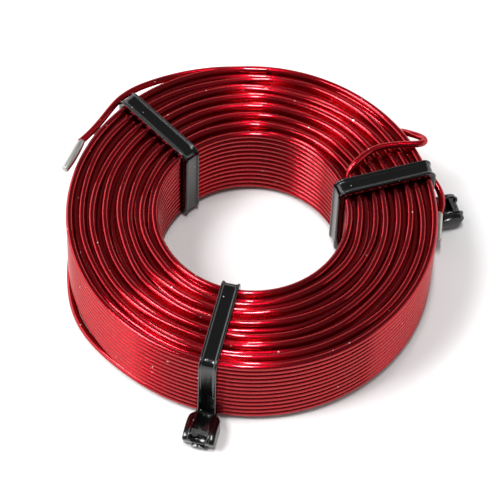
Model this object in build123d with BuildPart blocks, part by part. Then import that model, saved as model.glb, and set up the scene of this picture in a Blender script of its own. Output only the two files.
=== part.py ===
from build123d import *
from math import atan2, cos, degrees, radians, sin, sqrt, tan
import os

# Air core inductor: one enamelled wire wound into a ring of close-packed turns, held by three cable ties.
# Millimetres. +Z is the axis of the ring, -Y is its front. The origin is on that axis, in the plane
# of the three strap undersides that the ring stands on.

# ---- Wire and winding ----
bare_diameter = 1.29          # the copper alone
enamel_thickness = 0.045
core_diameter = 37.0          # clear across the innermost turns
layers = 15                   # odd layers are full, even ones nest in their grooves and hold one turn less
turns_in_full_layer = 13
groove_angle = 18             # how far each side of a touching point the varnish bridges the groove

# ---- Loose stretch of the lowest outer turn ----
loose_from = 182              # azimuths between which it stands off the wall
loose_to = 238
loose_stand_off = 1.1
loose_sink = 0.2              # how deep its two ends lie in the turn that they belong to
loose_slimming = 0.014        # off its radius, so that its skin never lies in the skin of that turn

# ---- Leads: azimuth, then the gaps from the wire to the wall and up from the top to the wire ----
finish_route = [
    (92, -1.8, -1.6),
    (101, -1.0, -1.5),
    (110, 0.3, -1.5),
    (122, 1.0, -1.5),
    (135.5, 1.9, -1.5),
    (157, 1.5, -1.7),
    (158.5, 1.4, -1.8),
]
finish_tip = (168.5, 1.2, -2.1)
start_route = [
    (28.8, 0.9, -0.1),
    (30.2, 2.7, -1.2),
    (33.6, 1.9, -2.4),
    (38.5, 0.8, -3.8),
    (41.5, 0.5, -6.4),
    (37.5, 0.6, -8.4),
    (29.5, 0.9, -8.3),
    (21.5, 1.5, -8.3),
    (17.0, 2.4, -10.0),
    (13.8, 1.5, -11.6),
]
start_tip = (8.0, 0.8, -15.2)

# The start lead first crosses the top: azimuth, share of the way from bore to wall, gap up from the top
start_crossing = [
    (23.5, 0.13, -3.4),
    (26.8, 0.12, -1.3),
    (29.6, 0.18, -0.1),
    (32.3, 0.37, 0.1),
    (32.6, 0.663, 0.1),
    (30.2, 0.922, 0.1),
]
bend_share = 0.45             # of the shorter run, taken by each bend
tin_thickness = 0.24          # solder over the bare copper
tin_end_round = 0.36

# ---- Cable ties ----
tie_azimuths = {"cable_tie_front": -101, "cable_tie_left": 135, "cable_tie_right": 19}
strap_width = 3.6
strap_thickness = 1.15
strap_gap = 0.02              # between a strap and the turns that it holds
rail_width = 0.55             # the raised edge on each side of the strap
recess_depth = 0.3
head_width = 6.4
head_length = 5.6
head_thickness = 4.3
head_tilt = 70                # from straight down, outwards
head_clearance = 0.15         # under the head's nose
neck_width = 4.4
neck_length = 1.5
root_bend = 1.2               # radius at the strap's outer face
root_straight = 0.2           # from the end of that bend to the head
tail_bend = 0.9
tail_from_neck = 3.7          # along the head to the middle of the cut tail
tail_proud = 0.8
slot_margin = 0.25
slot_depth = 1.6
trough_depth = 2.0
edge_round = 0.35

# ---- Derived: the winding ----
wire_diameter = bare_diameter + 2 * enamel_thickness
wire_radius = wire_diameter / 2
layer_step = wire_diameter * sqrt(3) / 2
inner_radius = core_diameter / 2
outer_radius = inner_radius + (layers - 1) * layer_step + wire_diameter
floor_height = strap_thickness + strap_gap
ceiling_height = floor_height + turns_in_full_layer * wire_diameter

# ---- Derived: the ties, in the upright plane through the axis, as (distance out, height) ----
along = (sin(radians(head_tilt)), -cos(radians(head_tilt)))
outwards = (cos(radians(head_tilt)), sin(radians(head_tilt)))
web_width = strap_width - 2 * rail_width
bore_face = sqrt(inner_radius**2 - (strap_width / 2) ** 2) - strap_gap
wall_face = outer_radius + strap_gap
# The root bend is tangent to the wall and runs straight into the head, which sets where the head starts
inner_root_bend = root_bend + strap_thickness
root_point = (
    wall_face + inner_root_bend * (1 - outwards[0]) + root_straight * along[0],
    head_clearance - head_length * along[1],
)


def on_ring(azimuth, radius, height):
    """A point given by its angle about the axis, its distance from it and its height."""
    return Vector(radius * cos(radians(azimuth)), radius * sin(radians(azimuth)), height)


def by_wall(azimuth, gap_out, gap_up):
    """Where the middle of a lead is, from its gaps to the outer wall and to the top."""
    return on_ring(azimuth, outer_radius + wire_radius + gap_out, ceiling_height + wire_radius + gap_up)


def over_top(azimuth, share_out, gap_up):
    """Where the middle of a lead is that crosses the top."""
    radius = inner_radius + share_out * (outer_radius - inner_radius)
    return on_ring(azimuth, radius, ceiling_height + wire_radius + gap_up)


def turn_centre(layer, turn):
    """Centre of one turn in the section, (radius, height). Every second layer nests half a turn up."""
    lift = 0 if layer % 2 == 0 else wire_radius
    return (
        inner_radius + wire_radius + layer * layer_step,
        floor_height + wire_radius + lift + turn * wire_diameter,
    )


def turns_in(layer):
    """Turns in a layer, with the layers counted from zero at the bore."""
    return turns_in_full_layer - layer % 2


def boundary_turns():
    """The turns that show in the section: up the outer wall, in over the top, down the bore, out below."""
    last = layers - 1
    between = range(1, last)
    outer_wall = [turn_centre(last, turn) for turn in range(turns_in(last))]
    top = [turn_centre(layer, turns_in(layer) - 1) for layer in reversed(between)]
    bore = [turn_centre(0, turn) for turn in reversed(range(turns_in(0)))]
    bottom = [turn_centre(layer, 0) for layer in between]
    return outer_wall + top + bore + bottom


def crest_arcs(centres):
    """Start, middle and end of each turn's free crest, between the grooves that it shares with its neighbours."""
    arcs = []
    for index, centre in enumerate(centres):
        before = centres[index - 1]
        after = centres[(index + 1) % len(centres)]
        first = degrees(atan2(before[1] - centre[1], before[0] - centre[0])) + groove_angle
        last = degrees(atan2(after[1] - centre[1], after[0] - centre[0])) - groove_angle
        while last < first:
            last += 360
        arcs.append(
            [
                (centre[0] + wire_radius * cos(radians(a)), centre[1] + wire_radius * sin(radians(a)))
                for a in (first, (first + last) / 2, last)
            ]
        )
    return arcs


def ring_of_turns():
    """The whole close-packed ring: its outline is the crests of the turns that show."""
    crests = crest_arcs(boundary_turns())
    with BuildPart() as ring:
        with BuildSketch(Plane.XZ):
            with BuildLine():
                for index, crest in enumerate(crests):
                    ThreePointArc(*crest)
                    Line(crest[-1], crests[(index + 1) % len(crests)][0])
            make_face()
        revolve(axis=Axis.Z)
    return ring.part


def loose_stretch():
    """Where the lowest outer turn stands off the wall."""
    radius = outer_radius - wire_radius
    height = floor_height + wire_radius
    ends = [on_ring(azimuth, radius - loose_sink, height) for azimuth in (loose_from, loose_to)]
    middle = on_ring((loose_from + loose_to) / 2, radius + loose_stand_off, height)
    with BuildPart() as stretch:
        with BuildLine() as path:
            ThreePointArc(ends[0], middle, ends[1])
        with BuildSketch(Plane(origin=path.line @ 0, z_dir=path.line % 0)):
            Circle(wire_radius - loose_slimming)
        sweep()
    return stretch.part


def bend_radii(points):
    """The radius of each bend: as large as the shorter of its two runs allows."""
    radii = []
    for before, corner, after in zip(points, points[1:], points[2:]):
        turn = (corner - before).get_angle(after - corner)
        shorter = min((corner - before).length, (after - corner).length)
        radii.append(bend_share * shorter / tan(radians(turn / 2)))
    return radii


def bent_wire(points):
    """The enamelled wire along straight runs joined by tangent arcs."""
    with BuildPart() as wire:
        with BuildLine() as path:
            FilletPolyline(*points, radius=bend_radii(points))
        with BuildSketch(Plane(origin=path.line @ 0, z_dir=path.line % 0)):
            Circle(wire_radius)
        sweep()
    return wire.part


def bare_end(start, end):
    """The stripped copper at the end of a lead."""
    with BuildPart() as copper:
        with BuildSketch(Plane(origin=start, z_dir=end - start)):
            Circle(bare_diameter / 2)
        extrude(amount=(end - start).length)
    return copper.part


def solder_coat(start, end):
    """Solder around the bare end of a lead and over its cut face."""
    strip_plane = Plane(origin=start, z_dir=end - start)
    length = (end - start).length
    with BuildPart() as coat:
        with BuildSketch(strip_plane):
            Circle(bare_diameter / 2 + tin_thickness)
        extrude(amount=length + tin_thickness)
        fillet(coat.faces().sort_by(Axis(start, end - start))[-1].edges(), tin_end_round)
        with BuildSketch(strip_plane):
            Circle(bare_diameter / 2)
        extrude(amount=length, mode=Mode.SUBTRACT)
    return coat.part


def strap_route(offset):
    """The strap's path in its own section, at a distance outwards from its inner face."""
    slot_from_neck = tail_from_neck + offset - strap_thickness / 2
    slot = (
        root_point[0] + slot_from_neck * along[0],
        root_point[1] + slot_from_neck * along[1],
    )
    tail_length = head_thickness + tail_proud
    tail_end = (slot[0] + tail_length * outwards[0], slot[1] + tail_length * outwards[1])
    under = strap_thickness - offset
    tail_foot = (slot[0] + (under - slot[1]) * outwards[0] / outwards[1], under)
    bore_side = bore_face - offset
    over = ceiling_height + strap_gap + offset
    wall_side = wall_face + offset
    root = (root_point[0] + offset * outwards[0], root_point[1] + offset * outwards[1])
    wall_foot = (wall_side, root[1] + (wall_side - root[0]) / along[0] * along[1])
    corners = [tail_foot, (bore_side, under), (bore_side, over), (wall_side, over), wall_foot]
    outer_bend = wire_radius + offset
    radii = [tail_bend + offset, outer_bend, outer_bend, outer_bend, inner_root_bend - offset]
    return [tail_end, *corners, root], radii


def cable_tie(azimuth):
    """One tie, closed round the winding, its head lying outwards at the foot of the outer wall."""
    radial = Vector(cos(radians(azimuth)), sin(radians(azimuth)), 0)
    across = Vector(sin(radians(azimuth)), -cos(radians(azimuth)), 0)
    section = Plane(origin=(0, 0, 0), x_dir=radial, z_dir=across)
    head_axis = radial * along[0] + Vector(0, 0, along[1])
    head_out = radial * outwards[0] + Vector(0, 0, outwards[1])
    head_root = radial * root_point[0] + Vector(0, 0, root_point[1])
    inner_face = Plane(origin=head_root, x_dir=head_axis, z_dir=head_out)
    outer_face = inner_face.offset(head_thickness)
    with BuildPart() as tie:
        # Head: a block that flares out of the neck, with the edges through its thickness rounded
        with BuildSketch(inner_face):
            with BuildLine():
                Polyline(
                    (0, -neck_width / 2),
                    (neck_length, -head_width / 2),
                    (head_length, -head_width / 2),
                    (head_length, head_width / 2),
                    (neck_length, head_width / 2),
                    (0, neck_width / 2),
                    close=True,
                )
            make_face()
        extrude(amount=head_thickness)
        fillet(tie.edges().filter_by(Axis(head_root, head_out)), edge_round)
        # Trough from the neck, and the slot that the tail comes out of
        with BuildSketch(outer_face):
            with BuildLine():
                Polyline(
                    (0, -web_width / 2),
                    (tail_from_neck, -strap_width / 2),
                    (tail_from_neck, strap_width / 2),
                    (0, web_width / 2),
                    close=True,
                )
            make_face()
        extrude(amount=-trough_depth, mode=Mode.SUBTRACT)
        with BuildSketch(outer_face):
            with Locations((tail_from_neck, 0)):
                Rectangle(strap_thickness + 2 * slot_margin, strap_width + 2 * slot_margin)
        extrude(amount=-slot_depth, mode=Mode.SUBTRACT)
        # Strap: from the cut tail, down through the head, round the winding and back to the neck
        points, radii = strap_route(strap_thickness / 2)
        with BuildSketch(section):
            with BuildLine():
                FilletPolyline(*points, radius=radii)
            trace(line_width=strap_thickness)
        extrude(amount=strap_width / 2, both=True)
        # Recess between the strap's two raised edges, from below the outer wall round to the neck
        points, radii = strap_route(strap_thickness)
        recess_start = (wall_face, points[1][1])
        with BuildSketch(section):
            with BuildLine():
                FilletPolyline(recess_start, *points[2:], radius=radii[1:])
            trace(line_width=2 * recess_depth)
        extrude(amount=web_width / 2, both=True, mode=Mode.SUBTRACT)
    return tie.part


def save(part, name):
    """Writes one part to its own STEP file."""
    part.label = name
    export_step(part, f"parts/{name}.step")


# ---- Where the wire's two ends are stripped, and where they end ----
finish_points = [by_wall(*place) for place in finish_route]
finish_end = by_wall(*finish_tip)
start_points = [over_top(*place) for place in start_crossing] + [by_wall(*place) for place in start_route]
start_end = by_wall(*start_tip)

# ---- Winding: the ring of turns with its loose stretch and both leads, which are all one wire ----
with BuildPart() as winding:
    add(ring_of_turns())
    add(loose_stretch())
    add(bent_wire(finish_points))
    add(bare_end(finish_points[-1], finish_end))
    add(bent_wire(start_points))
    add(bare_end(start_points[-1], start_end))

os.makedirs("parts", exist_ok=True)
save(winding.part, "winding")
save(solder_coat(finish_points[-1], finish_end), "finish_lead_tin")
save(solder_coat(start_points[-1], start_end), "start_lead_tin")
for tie_name, tie_azimuth in tie_azimuths.items():
    save(cable_tie(tie_azimuth), tie_name)
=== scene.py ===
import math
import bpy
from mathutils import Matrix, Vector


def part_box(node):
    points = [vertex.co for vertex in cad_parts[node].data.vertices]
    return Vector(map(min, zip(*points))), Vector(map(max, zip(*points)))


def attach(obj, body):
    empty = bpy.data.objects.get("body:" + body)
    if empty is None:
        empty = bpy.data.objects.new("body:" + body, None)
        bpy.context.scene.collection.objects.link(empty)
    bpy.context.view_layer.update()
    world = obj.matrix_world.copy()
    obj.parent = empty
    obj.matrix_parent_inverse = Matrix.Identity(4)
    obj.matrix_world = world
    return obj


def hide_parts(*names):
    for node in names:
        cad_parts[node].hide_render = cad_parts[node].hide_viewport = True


bl_info = {
    "name": "Air Core Inductor",
    "version": (1, 0, 0),
    "blender": (4, 5, 0),
    "location": "View3D > Sidebar > Inductor",
    "description": "An air core inductor of enamelled copper wire held by three cable ties",
    "category": "Add Mesh",
}

import bmesh
import bpy
from bpy.props import FloatProperty, FloatVectorProperty, IntProperty, PointerProperty, StringProperty
from mathutils import Matrix, Vector, noise

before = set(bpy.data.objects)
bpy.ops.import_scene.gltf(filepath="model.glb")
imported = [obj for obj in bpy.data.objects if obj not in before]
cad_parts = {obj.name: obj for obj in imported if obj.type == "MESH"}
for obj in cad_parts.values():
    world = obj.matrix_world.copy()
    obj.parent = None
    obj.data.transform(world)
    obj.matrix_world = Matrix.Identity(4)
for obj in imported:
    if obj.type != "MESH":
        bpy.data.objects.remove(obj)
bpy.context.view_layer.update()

MM = 0.001
STRAP_THICKNESS = 1.15 * MM
STRAP_GAP = 0.02 * MM
# The ring stands on its straps and is capped by them, so the ties' boxes give its lowest and highest crests
FLOOR_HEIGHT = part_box("winding")[0].z
CEILING_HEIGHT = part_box("cable_tie_front")[1].z - STRAP_THICKNESS - STRAP_GAP
TURNS_IN_FULL_LAYER = 13
WIRE_DIAMETER = (CEILING_HEIGHT - FLOOR_HEIGHT) / TURNS_IN_FULL_LAYER


# ---------------------------------------------------------------------------------------------
# Settings
# ---------------------------------------------------------------------------------------------


class WindingSettings(bpy.types.PropertyGroup):
    """Sizes of the wound ring"""

    wire_diameter: FloatProperty(
        name="Wire Diameter", description="Over the enamel", default=WIRE_DIAMETER, unit="LENGTH"
    )
    core_diameter: FloatProperty(
        name="Core Diameter", description="Clear across the innermost turns", default=37 * MM, unit="LENGTH"
    )
    layers: IntProperty(name="Layers", description="Nested layers of turns, an odd number", default=15)
    turns: IntProperty(
        name="Turns in a Full Layer", description="Turns in each odd layer", default=TURNS_IN_FULL_LAYER
    )
    steps: IntProperty(name="Steps", description="Straight steps round one turn", default=180)
    sides: IntProperty(name="Sides", description="Sides of the round wire", default=14)
    wander: FloatProperty(
        name="Wander", description="How far a top turn strays from its lane", default=1.2 * MM, unit="LENGTH"
    )


class LeadSettings(bpy.types.PropertyGroup):
    """Sizes of the tinned lead ends"""

    tin_diameter: FloatProperty(
        name="Tinned Diameter", description="Over the solder", default=1.77 * MM, unit="LENGTH"
    )


class TieSettings(bpy.types.PropertyGroup):
    """Sizes of the cable ties"""

    azimuths: FloatVectorProperty(
        name="Azimuths",
        description="Where the ties stand round the ring",
        default=[math.radians(a) for a in (-101, 135, 19)],
        subtype="EULER",
    )
    strap_width: FloatProperty(
        name="Strap Width", description="Width of the strap", default=3.6 * MM, unit="LENGTH"
    )
    strap_thickness: FloatProperty(
        name="Strap Thickness", description="At its raised edges", default=STRAP_THICKNESS, unit="LENGTH"
    )
    head_length: FloatProperty(
        name="Head Length", description="Along the strap", default=5.6 * MM, unit="LENGTH"
    )
    head_tilt: FloatProperty(
        name="Head Tilt",
        description="Outwards, from straight down",
        default=math.radians(70),
        subtype="ANGLE",
    )


class FinishSettings(bpy.types.PropertyGroup):
    """Colours of the finishes, as sRGB hex values"""

    enamel: StringProperty(name="Enamel", description="Dyed enamel over copper", default="AC0018")
    nylon: StringProperty(name="Nylon", description="Moulded black nylon", default="040405")
    solder: StringProperty(name="Solder", description="Tin solder", default="B9B9B4")
    floor: StringProperty(name="Floor", description="Matt paper", default="FAFAFA")


class StageSettings(bpy.types.PropertyGroup):
    """Where the camera and the lights stand"""

    elevation: FloatProperty(
        name="Elevation",
        description="Of the camera above the table",
        default=math.radians(55.17),
        subtype="ANGLE",
    )
    distance: FloatProperty(
        name="Distance", description="From the camera to the ring's middle", default=0.5242, unit="LENGTH"
    )
    roll: FloatProperty(name="Roll", description="Of the camera", default=math.radians(2.52), subtype="ANGLE")
    lens: FloatProperty(name="Lens", description="Focal length on a 36 mm sensor, in mm", default=189.4)
    tilt: FloatProperty(
        name="Tilt",
        description="Of the camera, up from the ring's middle",
        default=math.radians(-0.292),
        subtype="ANGLE",
    )
    pan: FloatProperty(
        name="Pan",
        description="Of the camera, left from the ring's middle",
        default=math.radians(0.024),
        subtype="ANGLE",
    )
    room: FloatProperty(name="Room", description="Luminance of the room around", default=0.18)


# ---------------------------------------------------------------------------------------------
# Colours, nodes and materials
# ---------------------------------------------------------------------------------------------


def linear(hex_colour):
    """An sRGB hex value as a linear colour with alpha."""
    channels = [int(hex_colour[i : i + 2], 16) / 255 for i in (0, 2, 4)]
    return [c / 12.92 if c <= 0.04045 else ((c + 0.055) / 1.055) ** 2.4 for c in channels] + [1.0]


def add_node(tree, kind, inputs=None, **settings):
    """Adds a node. Its inputs, by name or number, are plain values or the sockets that feed them."""
    node = tree.nodes.new(kind)
    for key, value in settings.items():
        setattr(node, key, value)
    for key, value in (inputs or {}).items():
        if isinstance(value, bpy.types.NodeSocket):
            tree.links.new(value, node.inputs[key])
        else:
            node.inputs[key].default_value = value
    return node


def new_material(name, uniform):
    """A node material and its tree, with a Principled shader that has those uniform inputs."""
    material = bpy.data.materials.new(name)
    material.use_nodes = True
    tree = material.node_tree
    tree.nodes.clear()
    shader = add_node(tree, "ShaderNodeBsdfPrincipled", uniform)
    add_node(tree, "ShaderNodeOutputMaterial", {"Surface": shader.outputs["BSDF"]})
    return material, tree, shader


def enamelled_copper(colour):
    """Polyurethane enamel, dyed red, over drawn copper: the metal glows through a hard clear gloss.

    The drawing die leaves fine lines along the wire, so the metal's own shine spreads across the wire.
    """
    uniform = {
        "Metallic": 1.0,
        "Roughness": 0.24,
        "Anisotropic": 0.9,
        "Anisotropic Rotation": 0.25,
        "Specular Tint": linear("F07078"),
        "Coat Weight": 0.6,
        "Coat Roughness": 0.04,
        "Coat IOR": 1.5,
    }
    material, tree, shader = new_material("enamelled copper", uniform)
    place = add_node(tree, "ShaderNodeTexCoord").outputs["Object"]
    tone = add_node(
        tree,
        "ShaderNodeTexNoise",
        {"Vector": place, "Scale": 1 / (9 * MM), "Detail": 3.0, "Roughness": 0.6},
    )
    thin = linear(colour)
    light_through_thick = 0.72
    thick = [channel * light_through_thick for channel in thin[:3]] + [1.0]
    dye = add_node(
        tree,
        "ShaderNodeMix",
        {"Factor": tone.outputs["Fac"], 6: thick, 7: thin},
        data_type="RGBA",
    )
    specks = dust_specks(tree, place, spacing=1.5 * MM, across=0.17 * MM, share=0.13)
    dusty = add_node(
        tree,
        "ShaderNodeMix",
        {"Factor": specks, 6: dye.outputs[2], 7: linear("E8B9B4")},
        data_type="RGBA",
    )
    tree.links.new(dusty.outputs[2], shader.inputs["Base Color"])
    along = add_node(tree, "ShaderNodeTangent", direction_type="RADIAL", axis="Z")
    tree.links.new(along.outputs["Tangent"], shader.inputs["Tangent"])
    skin = add_node(
        tree,
        "ShaderNodeTexNoise",
        {"Vector": place, "Scale": 1 / (1.6 * MM), "Detail": 2.0, "Roughness": 0.5},
    )
    bump = add_node(
        tree,
        "ShaderNodeBump",
        {"Height": skin.outputs["Fac"], "Strength": 0.05, "Distance": 0.05 * MM},
    )
    tree.links.new(bump.outputs["Normal"], shader.inputs["Normal"])
    tree.links.new(bump.outputs["Normal"], shader.inputs["Coat Normal"])
    return material


def dust_specks(tree, place, spacing, across, share):
    """One where a speck of dust lies and zero elsewhere; share of the cells of that spacing hold one."""
    cells = add_node(tree, "ShaderNodeTexVoronoi", {"Vector": place, "Scale": 1 / spacing})
    near = add_node(
        tree,
        "ShaderNodeMath",
        {0: cells.outputs["Distance"], 1: across / spacing},
        operation="LESS_THAN",
    )
    pick = add_node(tree, "ShaderNodeSeparateColor", {"Color": cells.outputs["Color"]})
    kept = add_node(tree, "ShaderNodeMath", {0: pick.outputs["Red"], 1: share}, operation="LESS_THAN")
    both = add_node(
        tree,
        "ShaderNodeMath",
        {0: near.outputs["Value"], 1: kept.outputs["Value"]},
        operation="MULTIPLY",
    )
    return both.outputs["Value"]


def moulded_nylon(colour):
    """Black polyamide 66, injection moulded: dark and satin, with the faint pebble of its mould."""
    material, tree, shader = new_material("moulded nylon", {"IOR": 1.56})
    place = add_node(tree, "ShaderNodeTexCoord").outputs["Object"]
    pebble = add_node(
        tree,
        "ShaderNodeTexNoise",
        {"Vector": place, "Scale": 1 / (0.35 * MM), "Detail": 3.0, "Roughness": 0.6},
    )
    bump = add_node(
        tree,
        "ShaderNodeBump",
        {"Height": pebble.outputs["Fac"], "Strength": 0.3, "Distance": 0.04 * MM},
    )
    tree.links.new(bump.outputs["Normal"], shader.inputs["Normal"])
    scuff = add_node(
        tree,
        "ShaderNodeMapRange",
        {"Value": pebble.outputs["Fac"], "To Min": 0.1, "To Max": 0.24},
    )
    tree.links.new(scuff.outputs["Result"], shader.inputs["Roughness"])
    specks = dust_specks(tree, place, spacing=1.2 * MM, across=0.13 * MM, share=0.12)
    dusty = add_node(
        tree,
        "ShaderNodeMix",
        {"Factor": specks, 6: linear(colour), 7: linear("A9ABB0")},
        data_type="RGBA",
    )
    tree.links.new(dusty.outputs[2], shader.inputs["Base Color"])
    return material


def tin_solder(colour):
    """Tin solder frozen on the wire: a dull bright metal with slow ripples."""
    uniform = {"Base Color": linear(colour), "Metallic": 1.0}
    material, tree, shader = new_material("tin solder", uniform)
    place = add_node(tree, "ShaderNodeTexCoord").outputs["Object"]
    ripple = add_node(
        tree,
        "ShaderNodeTexNoise",
        {"Vector": place, "Scale": 1 / (1.1 * MM), "Detail": 4.0, "Roughness": 0.6},
    )
    bump = add_node(
        tree,
        "ShaderNodeBump",
        {"Height": ripple.outputs["Fac"], "Strength": 0.5, "Distance": 0.12 * MM},
    )
    tree.links.new(bump.outputs["Normal"], shader.inputs["Normal"])
    dull = add_node(
        tree,
        "ShaderNodeMapRange",
        {"Value": ripple.outputs["Fac"], "To Min": 0.3, "To Max": 0.5},
    )
    tree.links.new(dull.outputs["Result"], shader.inputs["Roughness"])
    return material


def matt_paper(colour):
    """A sheet of matt white paper, which gives a pale floor with soft shadows."""
    uniform = {"Base Color": linear(colour), "Roughness": 0.9}
    material, tree, shader = new_material("matt paper", uniform)
    place = add_node(tree, "ShaderNodeTexCoord").outputs["Object"]
    fibre = add_node(tree, "ShaderNodeTexNoise", {"Vector": place, "Scale": 1 / (2 * MM), "Detail": 4.0})
    bump = add_node(
        tree,
        "ShaderNodeBump",
        {"Height": fibre.outputs["Fac"], "Strength": 0.05, "Distance": 0.02 * MM},
    )
    tree.links.new(bump.outputs["Normal"], shader.inputs["Normal"])
    return material


def material_named(name, maker, colour):
    """The material of that name, made once."""
    return bpy.data.materials.get(name) or maker(colour)


# ---------------------------------------------------------------------------------------------
# Shared shapes
# ---------------------------------------------------------------------------------------------


def on_ring(azimuth, radius, height):
    """A point given by its angle about the axis in degrees, its distance from it and its height, in mm."""
    angle = math.radians(azimuth)
    return Vector((radius * math.cos(angle), radius * math.sin(angle), height)) * MM


def placed(name, data):
    """A new object in the scene, which holds that data."""
    piece = bpy.data.objects.new(name, data)
    bpy.context.scene.collection.objects.link(piece)
    return piece


def finished(piece, material, slot, *nodes):
    """Gives a piece its material and body, and hides the CAD nodes that it stands for; the slot is not used.
    """
    if not piece.data.materials:
        piece.data.materials.append(material)
    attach(piece, "root")
    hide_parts(*nodes)
    return piece


def plain_mesh(source, name):
    """A new object with the evaluated mesh of source, which is removed."""
    bpy.context.view_layer.update()
    evaluated = source.evaluated_get(bpy.context.evaluated_depsgraph_get())
    mesh = bpy.data.meshes.new_from_object(evaluated)
    mesh.name = name
    data = source.data
    bpy.data.objects.remove(source)
    if isinstance(data, bpy.types.Curve):
        bpy.data.curves.remove(data)
    return placed(name, mesh)


def round_wire(name, points, diameter, material, cyclic=False, thickness=None):
    """A round wire along a smooth curve; thickness is a share of the diameter at each point."""
    curve = bpy.data.curves.new(name, "CURVE")
    curve.dimensions = "3D"
    curve.bevel_depth = diameter / 2
    curve.bevel_resolution = 5
    curve.resolution_u = 12
    curve.use_fill_caps = True
    spline = curve.splines.new("NURBS")
    spline.points.add(len(points) - 1)
    for index, point in enumerate(points):
        spline.points[index].co = (*point, 1)
        spline.points[index].radius = thickness[index] if thickness else 1
    spline.order_u = 4
    spline.use_cyclic_u = cyclic
    spline.use_endpoint_u = not cyclic
    curve.materials.append(material)
    piece = plain_mesh(placed(name + " path", curve), name)
    merged = bmesh.new()
    merged.from_mesh(piece.data)
    bmesh.ops.remove_doubles(merged, verts=merged.verts, dist=1e-7)
    bmesh.ops.recalc_face_normals(merged, faces=merged.faces)
    merged.to_mesh(piece.data)
    merged.free()
    piece.data.shade_smooth()
    return piece


# ---------------------------------------------------------------------------------------------
# Winding
# ---------------------------------------------------------------------------------------------

# How far apart the turns' own noises lie, and the share of a turn's wander that lets it sink
NOISE_APART = 3.7
SETTLING = 0.62
# How far a turn strays where its neighbours hold it
HELD = 0.03 * MM
# The loose stretch of the lowest turn: its middle and half its spread in degrees, then mm out and down
LOOSE_MIDDLE = 206
LOOSE_SPREAD = 17
LOOSE_STAND_OFF = 1.25
LOOSE_SINK = 0.15


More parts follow.
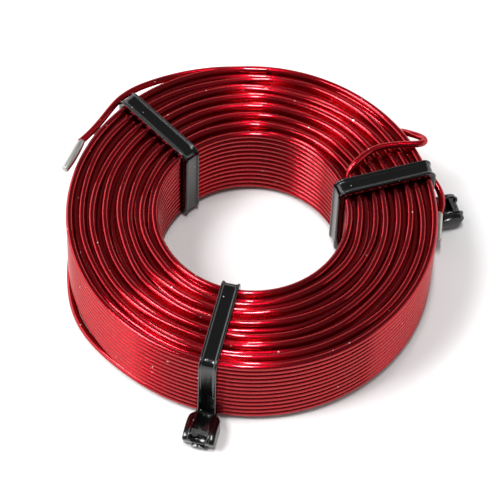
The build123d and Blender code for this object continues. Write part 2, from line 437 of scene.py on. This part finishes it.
def turns_tree():
    """Geometry Nodes that wind a row of closed turns, each a step out or up from the last."""
    tree = bpy.data.node_groups.new("Wound turns", "GeometryNodeTree")
    sockets = (
        ("Turns", "NodeSocketInt"),
        ("Steps", "NodeSocketInt"),
        ("Sides", "NodeSocketInt"),
        ("First Radius", "NodeSocketFloat"),
        ("Radius Step", "NodeSocketFloat"),
        ("First Height", "NodeSocketFloat"),
        ("Height Step", "NodeSocketFloat"),
        ("Nest Drop", "NodeSocketFloat"),
        ("Wire Diameter", "NodeSocketFloat"),
        ("Wander", "NodeSocketFloat"),
        ("Seed", "NodeSocketFloat"),
        ("Material", "NodeSocketMaterial"),
    )
    tree.interface.new_socket("Geometry", in_out="OUTPUT", socket_type="NodeSocketGeometry")
    for name, kind in sockets:
        tree.interface.new_socket(name, in_out="INPUT", socket_type=kind)
    given = add_node(tree, "NodeGroupInput").outputs

    row = add_node(tree, "GeometryNodeMeshLine", {"Count": given["Turns"], "Offset": (0, 0, 0)})
    ring = add_node(tree, "GeometryNodeCurvePrimitiveCircle", {"Resolution": given["Steps"], "Radius": 1.0})
    rings = add_node(
        tree,
        "GeometryNodeInstanceOnPoints",
        {"Points": row.outputs["Mesh"], "Instance": ring.outputs["Curve"]},
    )
    index = add_node(tree, "GeometryNodeInputIndex").outputs[0]
    counted = add_node(
        tree,
        "GeometryNodeStoreNamedAttribute",
        {"Geometry": rings.outputs["Instances"], "Name": "turn", "Value": index},
        data_type="FLOAT",
        domain="INSTANCE",
    )
    separate = add_node(tree, "GeometryNodeRealizeInstances", {"Geometry": counted.outputs["Geometry"]})
    number = add_node(tree, "GeometryNodeInputNamedAttribute", {"Name": "turn"}, data_type="FLOAT")
    turn = number.outputs["Attribute"]

    # Each turn strays a little from its lane, by a noise that closes on itself round the ring
    place = add_node(tree, "GeometryNodeInputPosition").outputs[0]
    spread = add_node(tree, "ShaderNodeMath", {0: turn, 1: NOISE_APART}, operation="MULTIPLY").outputs[0]
    own = add_node(tree, "ShaderNodeMath", {0: spread, 1: given["Seed"]}, operation="ADD").outputs[0]
    stray = add_node(
        tree,
        "ShaderNodeTexNoise",
        {"Vector": place, "W": own, "Scale": 1.1, "Detail": 1.0},
        noise_dimensions="4D",
    )
    strays = add_node(tree, "FunctionNodeSeparateColor", {"Color": stray.outputs["Color"]}).outputs
    aside = add_node(tree, "ShaderNodeMath", {0: strays[0], 1: 0.5}, operation="SUBTRACT").outputs[0]
    swing = add_node(tree, "ShaderNodeMath", {0: given["Wander"], 1: 2}, operation="MULTIPLY").outputs[0]
    sideways = add_node(tree, "ShaderNodeMath", {0: aside, 1: swing}, operation="MULTIPLY").outputs[0]
    rise = add_node(tree, "ShaderNodeMath", {0: strays[1], 1: SETTLING}, operation="SUBTRACT").outputs[0]
    upwards = add_node(tree, "ShaderNodeMath", {0: rise, 1: given["Wander"]}, operation="MULTIPLY").outputs[0]

    # The lane lies so many steps out and up, and every other turn nests between its neighbours
    step = given["Radius Step"]
    out = add_node(tree, "ShaderNodeMath", {0: turn, 1: step}, operation="MULTIPLY").outputs[0]
    lane = add_node(tree, "ShaderNodeMath", {0: given["First Radius"], 1: out}, operation="ADD").outputs[0]
    radius = add_node(tree, "ShaderNodeMath", {0: lane, 1: sideways}, operation="ADD").outputs[0]
    up = add_node(tree, "ShaderNodeMath", {0: turn, 1: given["Height Step"]}, operation="MULTIPLY").outputs[0]
    level = add_node(tree, "ShaderNodeMath", {0: given["First Height"], 1: up}, operation="ADD").outputs[0]
    other = add_node(tree, "ShaderNodeMath", {0: turn, 1: 2}, operation="MODULO").outputs[0]
    drop = given["Nest Drop"]
    nest = add_node(tree, "ShaderNodeMath", {0: other, 1: drop}, operation="MULTIPLY").outputs[0]
    nested = add_node(tree, "ShaderNodeMath", {0: level, 1: nest}, operation="SUBTRACT").outputs[0]
    height = add_node(tree, "ShaderNodeMath", {0: nested, 1: upwards}, operation="ADD").outputs[0]
    flat = add_node(tree, "ShaderNodeSeparateXYZ", {"Vector": place}).outputs
    across = add_node(tree, "ShaderNodeMath", {0: flat["X"], 1: radius}, operation="MULTIPLY").outputs[0]
    deep = add_node(tree, "ShaderNodeMath", {0: flat["Y"], 1: radius}, operation="MULTIPLY").outputs[0]
    moved = add_node(tree, "ShaderNodeCombineXYZ", {"X": across, "Y": deep, "Z": height})
    wound = add_node(
        tree,
        "GeometryNodeSetPosition",
        {"Geometry": separate.outputs["Geometry"], "Position": moved.outputs["Vector"]},
    )

    half = add_node(tree, "ShaderNodeMath", {0: given["Wire Diameter"], 1: 0.5}, operation="MULTIPLY")
    section = add_node(
        tree,
        "GeometryNodeCurvePrimitiveCircle",
        {"Resolution": given["Sides"], "Radius": half.outputs[0]},
    )
    wires = add_node(
        tree,
        "GeometryNodeCurveToMesh",
        {"Curve": wound.outputs["Geometry"], "Profile Curve": section.outputs["Curve"]},
    )
    smooth = add_node(tree, "GeometryNodeSetShadeSmooth", {"Geometry": wires.outputs["Mesh"]})
    whole = add_node(tree, "GeometryNodeRealizeInstances", {"Geometry": smooth.outputs["Geometry"]})
    clothed = add_node(
        tree,
        "GeometryNodeSetMaterial",
        {"Geometry": whole.outputs["Geometry"], "Material": given["Material"]},
    )
    add_node(tree, "NodeGroupOutput", {"Geometry": clothed.outputs["Geometry"]})
    return tree


def wind_turns(name, material, **inputs):
    """One row of turns as a plain mesh. Inputs are the tree's own, by name."""
    tree = bpy.data.node_groups.get("Wound turns") or turns_tree()
    source = placed(name + " source", bpy.data.meshes.new(name + " source"))
    modifier = source.modifiers.new("Wound turns", "NODES")
    modifier.node_group = tree
    sockets = {s.name: s.identifier for s in tree.interface.items_tree if s.in_out == "INPUT"}
    for key, value in inputs.items():
        modifier[sockets[key.replace("_", " ").title()]] = value
    modifier[sockets["Material"]] = material
    return plain_mesh(source, name)


class INDUCTOR_OT_winding(bpy.types.Operator):
    """Wind the turns that show on the outer wall, the top, the bore and the underside"""

    bl_idname = "inductor.winding"
    bl_label = "Wind the Ring"

    def execute(self, context):
        scene = context.scene
        sizes = scene.inductor_winding
        enamel = material_named("enamelled copper", enamelled_copper, scene.inductor_finish.enamel)
        wire = sizes.wire_diameter
        layer_step = wire * math.sqrt(3) / 2
        bore_radius = (sizes.core_diameter + wire) / 2
        wall_radius = bore_radius + (sizes.layers - 1) * layer_step
        lowest = FLOOR_HEIGHT + wire / 2
        highest = lowest + (sizes.turns - 1) * wire
        shared = {"wire_diameter": wire, "steps": sizes.steps, "sides": sizes.sides}
        rows = {
            "outer_wall_turns": {
                "turns": sizes.turns - 1,
                "first_radius": wall_radius,
                "first_height": lowest + wire,
                "height_step": wire,
                "wander": HELD,
                "seed": 1.0,
            },
            "top_turns": {
                "turns": sizes.layers - 2,
                "first_radius": bore_radius + layer_step,
                "radius_step": layer_step,
                "first_height": highest - wire / 2,
                "nest_drop": -wire / 2,
                "wander": sizes.wander,
                "seed": 2.0,
            },
            "bore_turns": {
                "turns": sizes.turns,
                "first_radius": bore_radius,
                "first_height": lowest,
                "height_step": wire,
                "wander": HELD,
                "seed": 3.0,
            },
            "underside_turns": {
                "turns": sizes.layers - 2,
                "first_radius": bore_radius + layer_step,
                "radius_step": layer_step,
                "first_height": lowest + wire / 2,
                "nest_drop": wire / 2,
                "wander": HELD,
                "seed": 4.0,
            },
        }
        for name, row in rows.items():
            piece = wind_turns(name, enamel, **shared, **row)
            finished(piece, enamel, "enamelled_copper", "winding")
        core = wound_core(bore_radius, wall_radius, lowest, highest, wire, enamel)
        finished(core, enamel, "enamelled_copper", "winding")
        return {"FINISHED"}


def wound_core(bore_radius, wall_radius, lowest, highest, wire, material):
    """The turns behind the outer ones, as one plain ring that fills the section."""
    inset_share = 0.45
    inset = wire * inset_share
    corners = [
        (bore_radius + inset, lowest + inset),
        (wall_radius - inset, lowest + inset),
        (wall_radius - inset, highest - inset),
        (bore_radius + inset, highest - inset),
    ]
    core = bmesh.new()
    section = [core.verts.new((radius, 0, height)) for radius, height in corners]
    edges = [core.edges.new((section[i], section[(i + 1) % 4])) for i in range(4)]
    bmesh.ops.spin(
        core, geom=edges, cent=(0, 0, 0), axis=(0, 0, 1), angle=2 * math.pi, steps=120, use_merge=True
    )
    bmesh.ops.remove_doubles(core, verts=core.verts, dist=1e-6)
    bmesh.ops.recalc_face_normals(core, faces=core.faces)
    mesh = bpy.data.meshes.new("inner_turns")
    core.to_mesh(mesh)
    core.free()
    mesh.materials.append(material)
    return placed("inner_turns", mesh)


class INDUCTOR_OT_loose_turn(bpy.types.Operator):
    """Lay the lowest outer turn, which stands off the wall at the left"""

    bl_idname = "inductor.loose_turn"
    bl_label = "Lay the Loose Turn"

    def execute(self, context):
        scene = context.scene
        sizes = scene.inductor_winding
        enamel = material_named("enamelled copper", enamelled_copper, scene.inductor_finish.enamel)
        wire = sizes.wire_diameter / MM
        wall_radius = (sizes.core_diameter / MM + wire) / 2 + (sizes.layers - 1) * wire * math.sqrt(3) / 2
        height = FLOOR_HEIGHT / MM + wire / 2
        points = []
        for azimuth in range(0, 360, 4):
            away = math.exp(-(((azimuth - LOOSE_MIDDLE) / LOOSE_SPREAD) ** 2))
            radius = wall_radius + LOOSE_STAND_OFF * away
            points.append(on_ring(azimuth, radius, height - LOOSE_SINK * away))
        piece = round_wire("loose_turn", points, wire * MM, enamel, cyclic=True)
        finished(piece, enamel, "enamelled_copper", "winding")
        return {"FINISHED"}


# ---------------------------------------------------------------------------------------------
# Leads
# ---------------------------------------------------------------------------------------------

# Azimuth in degrees, radius and height in mm of the wire's centre
FINISH_ROUTE = (
    (86, 35.9, 18.4),
    (93, 35.9, 18.4),
    (99, 36.05, 18.4),
    (104, 36.4, 18.4),
    (112, 36.95, 18.4),
    (119, 37.45, 18.4),
    (125, 38.0, 18.4),
    (130, 38.5, 18.4),
    (135, 38.65, 18.4),
    (139, 38.3, 18.4),
    (144, 37.7, 18.4),
    (149.5, 37.5, 18.3),
    (153.5, 37.9, 18.2),
    (156, 38.4, 18.1),
)
FINISH_TIP = (
    (155.4, 38.2, 18.1),
    (158, 38.1, 18.0),
    (161, 38.1, 17.95),
    (164, 38.3, 17.85),
    (166.6, 38.6, 17.8),
)
START_ROUTE = (
    (25, 20.6, 16.6),
    (27, 20.9, 17.6),
    (28.4, 21.4, 18.5),
    (30.2, 22.3, 19.4),
    (31.6, 23.8, 19.95),
    (33.2, 26.1, 19.95),
    (33.9, 28.8, 19.9),
    (32.1, 32.0, 19.9),
    (30.1, 34.6, 19.9),
    (28.6, 36.6, 19.8),
    (28.3, 38.3, 19.5),
    (29.6, 39.2, 18.9),
    (32.0, 39.0, 18.3),
    (35, 38.0, 17.6),
    (38.5, 37.6, 16.2),
    (41, 37.5, 14.0),
    (39, 37.6, 12.2),
    (33, 37.9, 11.6),
    (26, 38.6, 11.8),
    (20.5, 39.4, 11.7),
    (17.2, 39.8, 10.8),
    (15.0, 39.6, 9.5),
    (13.4, 38.8, 8.0),
)
START_TIP = ((14, 38.95, 8.5), (12.6, 38.5, 7.4), (10.5, 38.25, 6.2), (8.0, 38.1, 4.6))


class INDUCTOR_OT_leads(bpy.types.Operator):
    """Bend the two leads: one round the outside of a tie, one over the top and down the wall"""

    bl_idname = "inductor.leads"
    bl_label = "Bend the Leads"

    def execute(self, context):
        scene = context.scene
        enamel = material_named("enamelled copper", enamelled_copper, scene.inductor_finish.enamel)
        wire = scene.inductor_winding.wire_diameter
        for name, route in (("finish_lead", FINISH_ROUTE), ("start_lead", START_ROUTE)):
            lead = round_wire(name, [on_ring(*place) for place in route], wire, enamel)
            finished(lead, enamel, "enamelled_copper", "winding")
        return {"FINISHED"}


class INDUCTOR_OT_tinned_ends(bpy.types.Operator):
    """Tin the stripped ends of the two leads"""

    bl_idname = "inductor.tinned_ends"
    bl_label = "Tin the Lead Ends"

    def execute(self, context):
        scene = context.scene
        solder = material_named("tin solder", tin_solder, scene.inductor_finish.solder)
        across = scene.inductor_leads.tin_diameter
        for name, route in (("finish_lead_tin", FINISH_TIP), ("start_lead_tin", START_TIP)):
            thickness = [0.8] + [1.0] * (len(route) - 2) + [0.85]
            points = [on_ring(*place) for place in route]
            coat = round_wire(name, points, across, solder, thickness=thickness)
            finished(coat, solder, "solder", name)
        return {"FINISHED"}


# ---------------------------------------------------------------------------------------------
# Cable ties
# ---------------------------------------------------------------------------------------------

# A tie's path, in mm: the strap's corner radii from the tail to the wall, the bend at the head's root,
# the straight after it, the root's length inside the head and the head's height off the table
CORNER_RADII = (1.3, 0.9, 0.9, 0.8)
ROOT_BEND = 1.2
ROOT_STRAIGHT = 0.2
ROOT_IN_HEAD = 0.8
HEAD_LIFT = 0.15
# How far along the head its slot lies, and how far the strap's end passes through it
SLOT_ALONG = 3.2
TAIL_REACH = 4.0
# Longest step round a bend in degrees, and along a straight in mm
BEND_STEP = 9
STRAIGHT_STEP = 1.2
# The cut tail's half width in mm, and the angle in degrees at which the moulding's edges look sharp
TAIL_HALF_WIDTH = 1.45
SHARP_ANGLE = 42

# Half of the gate's stub on the nose: mm across and out; then its steps beyond the nose
STUB_START = 5.2
STUB_SECTION = ((0, 0.25), (1.15, 0.25), (1.4, 0.45), (1.4, 1.35), (1.15, 1.55), (0, 1.55))
STUB_STEPS = (0, 0.75, 0.95)
STUB_TAPER = 0.12

# Half of the strap's section: shares of its half width, then mm out from its inner face
STRAP_SECTION = (
    (0.0, 0.0),
    (0.88, 0.0),
    (0.97, 0.05),
    (1.0, 0.17),
    (1.0, 0.8),
    (0.985, 0.98),
    (0.93, 1.1),
    (0.86, 1.15),
    (0.78, 1.13),
    (0.71, 1.04),
    (0.65, 0.92),
    (0.57, 0.86),
    (0.3, 0.84),
    (0.0, 0.84),
)

# The head from its neck to its nose, in mm: distance along, half width, height of the shoulders,
# height of the rails, half the gap between the rails, height of the trough's floor
HEAD_STATIONS = (
    (-1.1, 1.8, 0.95, 1.13, 1.28, 0.84),
    (-0.75, 2.2, 1.05, 1.3, 1.25, 0.86),
    (-0.35, 2.75, 1.25, 1.6, 1.22, 0.95),
    (0.1, 3.05, 1.6, 2.0, 1.2, 1.1),
    (0.7, 3.15, 2.1, 2.5, 1.2, 1.35),
    (1.5, 3.2, 2.65, 3.1, 1.26, 1.75),
    (2.4, 3.2, 3.15, 3.65, 1.38, 2.05),
    (3.3, 3.2, 3.5, 4.05, 1.5, 2.3),
    (4.1, 3.2, 3.65, 4.25, 1.62, 2.3),
    (4.6, 3.2, 3.65, 4.25, 1.62, 2.35),
    (4.75, 3.2, 3.65, 4.2, 1.55, 3.0),
    (5.3, 3.18, 3.55, 4.05, 1.5, 3.0),
    (5.5, 3.1, 3.4, 3.8, 1.45, 2.9),
    (5.6, 2.95, 3.15, 3.5, 1.4, 2.75),
)


def tie_frame(winding, tie):
    """The head's directions, its root and the strap's path, in the upright plane through the axis.

    Each is in mm, as distance out and height.
    """
    wire = winding.wire_diameter / MM
    thick = tie.strap_thickness / MM
    gap = STRAP_GAP / MM
    along = (math.sin(tie.head_tilt), -math.cos(tie.head_tilt))
    outwards = (math.cos(tie.head_tilt), math.sin(tie.head_tilt))
    bore = winding.core_diameter / 2 / MM
    wall_face = bore + (winding.layers - 1) * wire * math.sqrt(3) / 2 + wire + gap
    bore_face = math.sqrt(bore**2 - (tie.strap_width / 2 / MM) ** 2) - gap
    bend = ROOT_BEND + thick
    root = (
        wall_face + bend * (1 - outwards[0]) + ROOT_STRAIGHT * along[0],
        HEAD_LIFT + tie.head_length / MM * math.cos(tie.head_tilt),
    )
    over = CEILING_HEIGHT / MM + gap
    slot = (root[0] + SLOT_ALONG * along[0], root[1] + SLOT_ALONG * along[1])
    tail_end = (slot[0] + TAIL_REACH * outwards[0], slot[1] + TAIL_REACH * outwards[1])
    tail_foot = (slot[0] + (thick - slot[1]) * outwards[0] / outwards[1], thick)
    wall_foot = (wall_face, root[1] + (wall_face - root[0]) / along[0] * along[1])
    inside = (root[0] + ROOT_IN_HEAD * along[0], root[1] + ROOT_IN_HEAD * along[1])
    corners = [
        tail_end,
        tail_foot,
        (bore_face, thick),
        (bore_face, over),
        (wall_face, over),
        wall_foot,
        inside,
    ]
    return along, outwards, root, rounded_path(corners, [*CORNER_RADII, bend])


def rounded_path(corners, radii):
    """Points and directions along a path whose corners are rounded."""
    places = [Vector(corner) for corner in corners]
    path = []
    for before, corner, after, radius in zip(places, places[1:], places[2:], radii):
        arriving = (corner - before).normalized()
        leaving = (after - corner).normalized()
        turn = arriving.angle_signed(leaving)
        reach = radius * math.tan(abs(turn) / 2)
        start = corner - arriving * reach
        side = Vector((-arriving.y, arriving.x)) * (-1 if turn > 0 else 1)
        centre = start + side * radius
        steps = max(3, round(abs(turn) / math.radians(BEND_STEP)))
        for step in range(steps + 1):
            swept = -turn * step / steps
            spin = Matrix.Rotation(swept, 2)
            path.append((centre + spin @ (start - centre), spin @ arriving))
    first, last = places[0], places[-1]
    path.insert(0, (first, (places[1] - first).normalized()))
    path.append((last, (last - places[-2]).normalized()))
    whole = [path[0]]
    for place, direction in path[1:]:
        gap = place - whole[-1][0]
        pieces = max(1, round(gap.length / STRAIGHT_STEP))
        earlier = whole[-1]
        for piece in range(1, pieces):
            whole.append((earlier[0] + gap * piece / pieces, direction))
        whole.append((place, direction))
    return whole


def loft(mesh, rings):
    """Closed skin over rings of equally many points, with both ends capped."""
    rows = [[mesh.verts.new(point) for point in ring] for ring in rings]
    count = len(rows[0])
    for row, after in zip(rows, rows[1:]):
        for i in range(count):
            mesh.faces.new((row[i], row[(i + 1) % count], after[(i + 1) % count], after[i]))
    mesh.faces.new(reversed(rows[0]))
    mesh.faces.new(rows[-1])


def both_halves(half):
    """A closed outline from its right half, listed from the middle below to the middle above."""
    return list(half) + [(-across, height) for across, height in reversed(half[1:-1])]


def head_outline(half_width, shoulder, rail, gap, floor):
    """One section across the head, in mm."""
    return both_halves(
        (
            (0, 0.05),
            (half_width - 0.45, 0.05),
            (half_width - 0.12, 0.14),
            (half_width, 0.45),
            (half_width, shoulder - 0.35),
            (half_width - 0.1, shoulder - 0.1),
            (half_width - 0.35, shoulder),
            (gap + 0.72, shoulder + 0.02),
            (gap + 0.6, rail - 0.12),
            (gap + 0.42, rail),
            (gap + 0.2, rail),
            (gap + 0.05, rail - 0.12),
            (gap - 0.08, floor + 0.12),
            (gap - 0.25, floor),
            (0, floor),
        )
    )


def cut_tail(mesh, place, half_width, seed):
    """The rough cut end of the strap, which stands in the slot."""
    columns, rows = 9, 4
    foot, top = 1.5, 3.55
    near_face, thickness = 3.55, 0.95
    rounding = 0.25
    ragged_aside, ragged_up = 0.08, 0.75
    grid = {}
    for i in range(columns):
        for j in range(rows):
            across = (i / (columns - 1) * 2 - 1) * half_width
            beside = near_face + j / (rows - 1) * thickness
            rough = noise.noise(Vector((i * 1.7, j * 2.3, seed)))
            edge = rounding if i in (0, columns - 1) or j in (0, rows - 1) else 0.0
            crest = place(beside + rough * ragged_aside, across, top + rough * ragged_up - edge)
            grid[i, j, 1] = mesh.verts.new(crest)
            grid[i, j, 0] = mesh.verts.new(place(beside, across, foot))
    for i in range(columns - 1):
        for j in range(rows - 1):
            cell = ((i, j), (i + 1, j), (i + 1, j + 1), (i, j + 1))
            mesh.faces.new([grid[k, m, 1] for k, m in cell])
            mesh.faces.new([grid[k, m, 0] for k, m in reversed(cell)])
    rim = [(i, 0) for i in range(columns)]
    rim += [(columns - 1, j) for j in range(1, rows)]
    rim += [(i, rows - 1) for i in reversed(range(columns - 1))]
    rim += [(0, j) for j in reversed(range(1, rows - 1))]
    for (i, j), (k, m) in zip(rim, rim[1:] + rim[:1]):
        mesh.faces.new((grid[i, j, 0], grid[k, m, 0], grid[k, m, 1], grid[i, j, 1]))


def cable_tie(name, azimuth, winding, tie, material):
    """One tie closed round the winding: strap, head and cut tail in one mesh."""
    along, outwards, root, path = tie_frame(winding, tie)
    radial = Vector((math.cos(azimuth), math.sin(azimuth), 0))
    across = Vector((math.sin(azimuth), -math.cos(azimuth), 0))
    up = Vector((0, 0, 1))
    half = tie.strap_width / 2 / MM

    def in_head(beside, sideways, out):
        reach = root[0] + beside * along[0] + out * outwards[0]
        height = root[1] + beside * along[1] + out * outwards[1]
        return (radial * reach + up * height + across * sideways) * MM

    mesh = bmesh.new()
    section = both_halves([(share * half, height) for share, height in STRAP_SECTION])
    rings = []
    for place, direction in path:
        away = Vector((-direction.y, direction.x))
        ring = []
        for sideways, height in section:
            flat = place + away * height
            ring.append((radial * flat.x + up * flat.y + across * sideways) * MM)
        rings.append(ring)
    loft(mesh, rings)
    heads = []
    for beside, *measures in HEAD_STATIONS:
        heads.append([in_head(beside, sideways, out) for sideways, out in head_outline(*measures)])
    loft(mesh, heads)
    cut_tail(mesh, in_head, TAIL_HALF_WIDTH, azimuth)
    stub = []
    for step in STUB_STEPS:
        narrowed = 1 - step * STUB_TAPER
        outline = both_halves(STUB_SECTION)
        stub.append([in_head(STUB_START + step, sideways * narrowed, out) for sideways, out in outline])
    loft(mesh, stub)
    bmesh.ops.recalc_face_normals(mesh, faces=mesh.faces)
    data = bpy.data.meshes.new(name)
    mesh.to_mesh(data)
    mesh.free()
    data.shade_smooth()
    data.set_sharp_from_angle(angle=math.radians(SHARP_ANGLE))
    piece = placed(name, data)
    return finished(piece, material, "nylon", name.removesuffix("_moulding"))


class INDUCTOR_OT_cable_ties(bpy.types.Operator):
    """Close the three cable ties round the winding"""

    bl_idname = "inductor.cable_ties"
    bl_label = "Close the Cable Ties"

    def execute(self, context):
        scene = context.scene
        nylon = material_named("moulded nylon", moulded_nylon, scene.inductor_finish.nylon)
        names = ("cable_tie_front", "cable_tie_left", "cable_tie_right")
        for name, azimuth in zip(names, scene.inductor_ties.azimuths):
            cable_tie(name + "_moulding", azimuth, scene.inductor_winding, scene.inductor_ties, nylon)
        return {"FINISHED"}


# ---------------------------------------------------------------------------------------------
# Stage
# ---------------------------------------------------------------------------------------------


# Half the width of the floor, in metres
FLOOR_REACH = 3.0
# Each light's name, place and size in metres, and the luminance of its face
LIGHTS = (
    ("back wall", (0, 1.0, 0.32), (1.7, 0.5), 1.5),
    ("left wall", (-1.0, 0.1, 0.36), (1.8, 0.6), 2.6),
    ("right wall", (1.0, 0.2, 0.32), (1.5, 0.5), 1.5),
    ("overhead lamp", (0.0, -0.1, 1.2), (0.08, 0.5), 50.0),
    ("left key", (-0.6, -0.2, 1.0), (0.4, 0.4), 21.0),
)


def panel_light(name, place, target, size, luminance):
    """A rectangular soft light at place, facing target, whose face has that luminance."""
    data = bpy.data.lights.new(name, "AREA")
    data.shape = "RECTANGLE"
    data.size, data.size_y = size
    data.energy = luminance * math.pi * size[0] * size[1]
    light = placed(name, data)
    facing = (Vector(target) - Vector(place)).to_track_quat("-Z", "Y")
    light.matrix_world = Matrix.Translation(place) @ facing.to_matrix().to_4x4()


class INDUCTOR_OT_stage(bpy.types.Operator):
    """Set the floor, the lights and the camera"""

    bl_idname = "inductor.stage"
    bl_label = "Set the Stage"

    def execute(self, context):
        scene = context.scene
        stage = scene.inductor_stage
        paper = material_named("matt paper", matt_paper, scene.inductor_finish.floor)
        sheet = bpy.data.meshes.new("floor")
        corners = [(-1, -1), (1, -1), (1, 1), (-1, 1)]
        sheet.from_pydata([(x * FLOOR_REACH, y * FLOOR_REACH, 0) for x, y in corners], [], [(0, 1, 2, 3)])
        sheet.materials.append(paper)
        floor = placed("floor", sheet)

        middle = Vector((0, 0, (FLOOR_HEIGHT + CEILING_HEIGHT) / 2))
        lift, reach = math.sin(stage.elevation), math.cos(stage.elevation)
        eye = middle + Vector((0, -reach, lift)) * stage.distance
        camera_data = bpy.data.cameras.new("camera")
        camera_data.lens = stage.lens
        camera_data.sensor_width = 36
        camera_data.clip_start = 0.01
        camera = placed("camera", camera_data)
        right, up, back = Vector((1, 0, 0)), Vector((0, lift, reach)), Vector((0, -reach, lift))
        turn = Matrix.Rotation(stage.roll, 3, "Z")
        basis = Matrix((right, up, back)).transposed() @ turn
        aim = Matrix.Rotation(stage.tilt, 3, "X") @ Matrix.Rotation(stage.pan, 3, "Y")
        camera.matrix_world = Matrix.Translation(eye) @ (basis @ aim).to_4x4()
        scene.camera = camera

        world = bpy.data.worlds.new("dim room")
        world.use_nodes = True
        background = world.node_tree.nodes["Background"]
        background.inputs["Color"].default_value = (1, 1, 1, 1)
        background.inputs["Strength"].default_value = stage.room
        scene.world = world
        for name, place, size, luminance in LIGHTS:
            panel_light(name, place, middle, size, luminance)
        scene.view_settings.view_transform = "Standard"
        return {"FINISHED"}


class INDUCTOR_PT_panel(bpy.types.Panel):
    """The inductor's steps and sizes"""

    bl_label = "Air Core Inductor"
    bl_idname = "INDUCTOR_PT_panel"
    bl_space_type = "VIEW_3D"
    bl_region_type = "UI"
    bl_category = "Inductor"

    def draw(self, context):
        for settings in ("winding", "leads", "ties", "finish", "stage"):
            group = getattr(context.scene, "inductor_" + settings)
            box = self.layout.box()
            for name in group.bl_rna.properties.keys():
                if name not in ("rna_type", "name"):
                    box.prop(group, name)
        for step in STEPS:
            self.layout.operator(step.bl_idname)


STEPS = (
    INDUCTOR_OT_stage,
    INDUCTOR_OT_winding,
    INDUCTOR_OT_loose_turn,
    INDUCTOR_OT_leads,
    INDUCTOR_OT_tinned_ends,
    INDUCTOR_OT_cable_ties,
)
SETTINGS = {
    "inductor_winding": WindingSettings,
    "inductor_leads": LeadSettings,
    "inductor_ties": TieSettings,
    "inductor_finish": FinishSettings,
    "inductor_stage": StageSettings,
}


def register():
    """Adds the settings, the steps and the panel to Blender."""
    for settings in SETTINGS.values():
        bpy.utils.register_class(settings)
    for step in STEPS:
        bpy.utils.register_class(step)
    bpy.utils.register_class(INDUCTOR_PT_panel)
    for name, settings in SETTINGS.items():
        setattr(bpy.types.Scene, name, PointerProperty(type=settings))


def unregister():
    """Takes them out again, in reverse order."""
    for name in SETTINGS:
        delattr(bpy.types.Scene, name)
    bpy.utils.unregister_class(INDUCTOR_PT_panel)
    for step in reversed(STEPS):
        bpy.utils.unregister_class(step)
    for settings in reversed(SETTINGS.values()):
        bpy.utils.unregister_class(settings)


def main():
    """Builds the whole inductor on its stage."""
    register()
    bpy.ops.inductor.stage()
    bpy.ops.inductor.winding()
    bpy.ops.inductor.loose_turn()
    bpy.ops.inductor.leads()
    bpy.ops.inductor.tinned_ends()
    bpy.ops.inductor.cable_ties()


if __name__ == "__main__":
    main()
